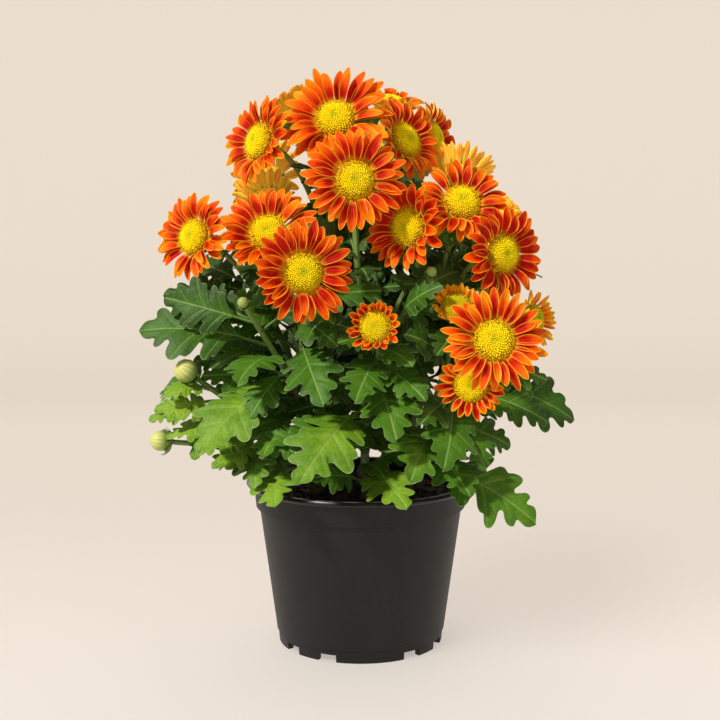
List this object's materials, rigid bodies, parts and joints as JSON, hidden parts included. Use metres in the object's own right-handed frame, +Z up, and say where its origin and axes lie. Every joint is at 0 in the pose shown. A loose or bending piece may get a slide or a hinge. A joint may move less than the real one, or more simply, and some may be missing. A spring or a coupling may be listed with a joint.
{
  "type": "potted garden chrysanthemum",
  "caption": "Bushy garden chrysanthemum with daisy-like orange-red blooms, yellow discs and lobed green leaves, growing in soil in a round tapered nursery pot.",
  "frame": {"origin": "on the pot's axis, on the surface that the pot's foot ring stands on", "axes": "+Z up along the pot's axis; the plant's front faces -Y; +X is to the right seen from the front"},
  "size_m": [0.2531, 0.2022, 0.342],
  "materials": {
    "pot": "black moulded polypropylene, fine grained, with a slightly glossier lip",
    "soil": "dark crumbly peat and bark compost, matte",
    "foliage": "green leaves and stems, satin, lighter along the veins, stems and low leaves",
    "petals": "satiny orange-red petals with a thin yellow edge and gold backs",
    "disc": "matte bright yellow florets, greener at the middle"
  },
  "bodies": {
    "root": {"pot": "pot", "soil": "soil", "bloom_01_petals": "petals", "bloom_01_disc": "disc", "bloom_02_petals": "petals", "bloom_02_disc": "disc", "bloom_03_petals": "petals", "bloom_03_disc": "disc", "bloom_04_petals": "petals", "bloom_04_disc": "disc", "bloom_05_petals": "petals", "bloom_05_disc": "disc", "bloom_06_petals": "petals", "bloom_06_disc": "disc", "bloom_07_petals": "petals", "bloom_07_disc": "disc", "bloom_08_petals": "petals", "bloom_08_disc": "disc", "bloom_09_petals": "petals", "bloom_09_disc": "disc", "bloom_10_petals": "petals", "bloom_10_disc": "disc", "bloom_11_petals": "petals", "bloom_11_disc": "disc", "bloom_12_petals": "petals", "bloom_12_disc": "disc", "bloom_13_petals": "petals", "bloom_13_disc": "disc", "bloom_14_petals": "petals", "bloom_14_disc": "disc", "bloom_15_petals": "petals", "bloom_15_disc": "disc", "bloom_16_petals": "petals", "bloom_16_disc": "disc", "bloom_17_petals": "petals", "bloom_17_disc": "disc", "bloom_18_petals": "petals", "bloom_18_disc": "disc", "bloom_19_petals": "petals", "bloom_19_disc": "disc", "bloom_20_petals": "petals", "bloom_20_disc": "disc", "bloom_21_petals": "petals", "bloom_21_disc": "disc", "bloom_22_petals": "petals", "bloom_22_disc": "disc", "bloom_23_petals": "petals", "bloom_23_disc": "disc", "bloom_24_petals": "petals", "bloom_24_disc": "disc", "bloom_25_petals": "petals", "bloom_25_disc": "disc", "stem_front": "foliage", "stem_top_left": "foliage", "stem_top_right": "foliage", "stem_left": "foliage", "stem_right": "foliage", "stem_low_right": "foliage", "stem_back": "foliage", "stem_low_left": "foliage"}
  },
  "joints": []
}
